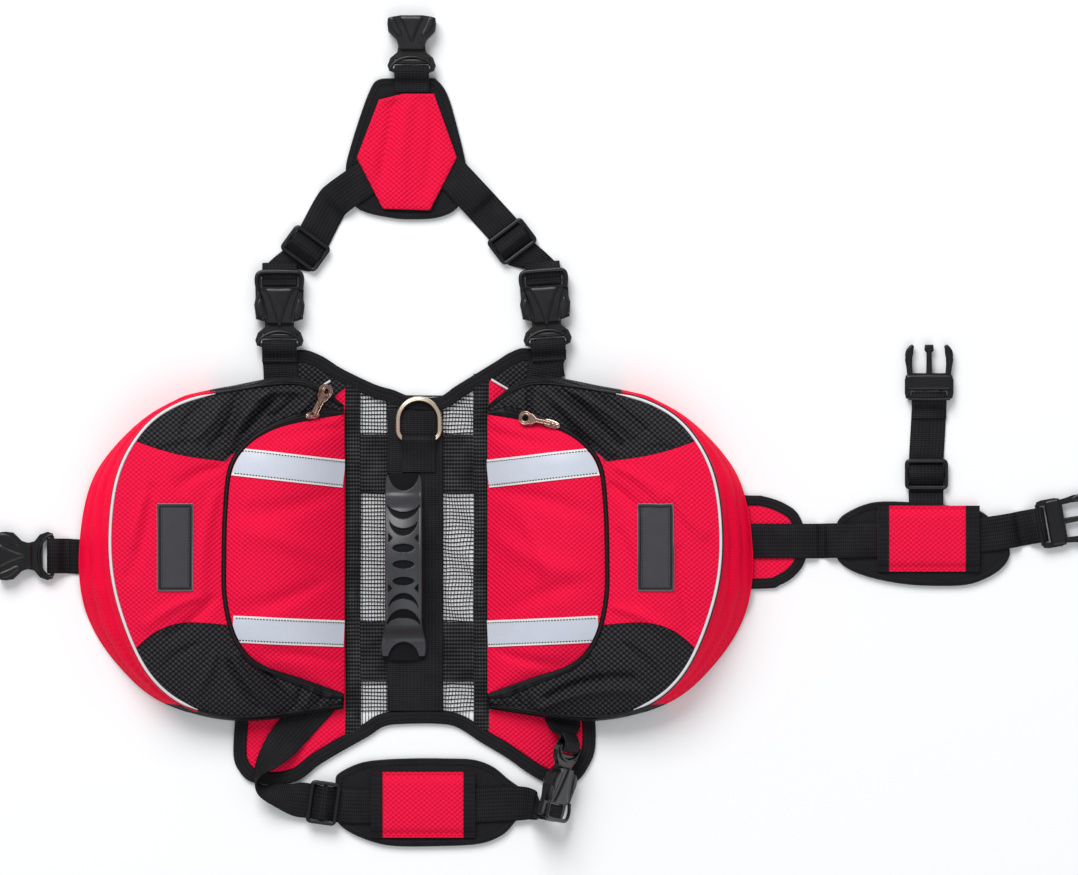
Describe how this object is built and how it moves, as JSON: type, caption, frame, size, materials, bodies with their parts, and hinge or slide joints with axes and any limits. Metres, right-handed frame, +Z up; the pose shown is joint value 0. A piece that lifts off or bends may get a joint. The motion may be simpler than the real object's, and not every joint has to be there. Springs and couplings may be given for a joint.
{
  "type": "dog saddlebag harness",
  "caption": "Dog saddlebag harness laid flat: two zipped saddlebags on a netted yoke with a carry handle, a lead ring and webbing straps with side-release buckles.",
  "frame": {"origin": "the middle of the spine net's underside, on the table", "axes": "+Z up from the table, +Y towards the dog's head, +X towards the side with the girth pad"},
  "size_m": [0.7901, 0.5978, 0.046],
  "materials": {
    "red_cloth": "woven polyester with a small raised diamond grid",
    "black_cloth": "woven polyester with a small raised diamond grid",
    "webbing": "ribbed nylon webbing",
    "binding": "smooth woven edge binding and padded knit",
    "net": "open polyester net",
    "reflective": "silver reflective tape with stitched edges",
    "piping": "white cord piping",
    "plastic": "moulded acetal, half gloss",
    "handle_rubber": "moulded soft rubber",
    "metal": "polished, pale gold",
    "label": "dark woven patch with a stitched edge"
  },
  "bodies": {
    "harness": {"bag_left_corner_low": "black_cloth", "bag_left_corner_top": "black_cloth", "bag_left_label": "label", "bag_left_panel": "red_cloth", "bag_left_piping": "piping", "bag_left_pocket": "red_cloth", "bag_left_reflector_front": "reflective", "bag_left_reflector_rear": "reflective", "bag_left_tray": "red_cloth", "bag_left_zip": "binding", "bag_right_corner_low": "black_cloth", "bag_right_corner_top": "black_cloth", "bag_right_label": "label", "bag_right_panel": "red_cloth", "bag_right_piping": "piping", "bag_right_pocket": "red_cloth", "bag_right_reflector_front": "reflective", "bag_right_reflector_rear": "reflective", "bag_right_tray": "red_cloth", "bag_right_zip": "binding", "branch_strap": "webbing", "branch_triglide": "plastic", "chest_loop": "webbing", "chest_pad": "binding", "chest_panel": "red_cloth", "d_ring_tab": "webbing", "girth_pad": "binding", "girth_sleeve": "red_cloth", "girth_strap_left": "webbing", "girth_strap_right": "webbing", "handle": "handle_rubber", "neck_binding": "binding", "neck_strap_left": "webbing", "neck_strap_right": "webbing", "rear_binding": "binding", "rear_buckle": "plastic", "rear_pad": "binding", "rear_sleeve": "red_cloth", "rear_strap": "webbing", "rear_stub": "webbing", "rear_triglide": "plastic", "shoulder_buckle_left": "plastic", "shoulder_buckle_right": "plastic", "shoulder_stub_left": "webbing", "shoulder_stub_right": "webbing", "spine_frame": "binding", "spine_net": "net", "spine_webbing": "webbing", "triglide_left": "plastic", "triglide_right": "plastic", "yoke_left": "red_cloth", "yoke_right": "red_cloth"},
    "left_pull": {"bag_left_pull": "metal"},
    "right_pull": {"bag_right_pull": "metal"},
    "ring": {"d_ring": "metal"},
    "chest_half": {"chest_socket": "plastic"},
    "left_half": {"left_socket": "plastic"},
    "right_half": {"right_plug": "plastic"},
    "branch_half": {"branch_plug": "plastic"}
  },
  "joints": [
    {"name": "left_pull_hinge", "type": "hinge", "parent": "harness", "child": "left_pull", "pos_m": [-0.07375, 0.10557, 0.02261], "axis": [0.8415, -0.5148, -0.1638], "range_deg": [0, 85]},
    {"name": "right_pull_hinge", "type": "hinge", "parent": "harness", "child": "right_pull", "pos_m": [0.09724, 0.0981, 0.03034], "axis": [0.2212, 0.9752, -0.0094], "range_deg": [0, 85]},
    {"name": "ring_hinge", "type": "hinge", "parent": "harness", "child": "ring", "pos_m": [0.0021, 0.0865, 0.0067], "axis": [1, 0, 0], "range_deg": [0, 110]},
    {"name": "chest_half_hinge", "type": "hinge", "parent": "harness", "child": "chest_half", "pos_m": [-0.003, 0.352, 0.0084], "axis": [1, 0, 0], "range_deg": [0, 75]},
    {"name": "left_half_hinge", "type": "hinge", "parent": "harness", "child": "left_half", "pos_m": [-0.2615, 0.003, 0.0041], "axis": [0, 1, 0], "range_deg": [0, 75]},
    {"name": "right_half_hinge", "type": "hinge", "parent": "harness", "child": "right_half", "pos_m": [0.4495, 0.0252, 0.0041], "axis": [0.1736, -0.9848, 0], "range_deg": [0, 75]},
    {"name": "branch_half_hinge", "type": "hinge", "parent": "harness", "child": "branch_half", "pos_m": [0.3692, 0.117, 0.0041], "axis": [1, 0, 0], "range_deg": [0, 75]}
  ]
}
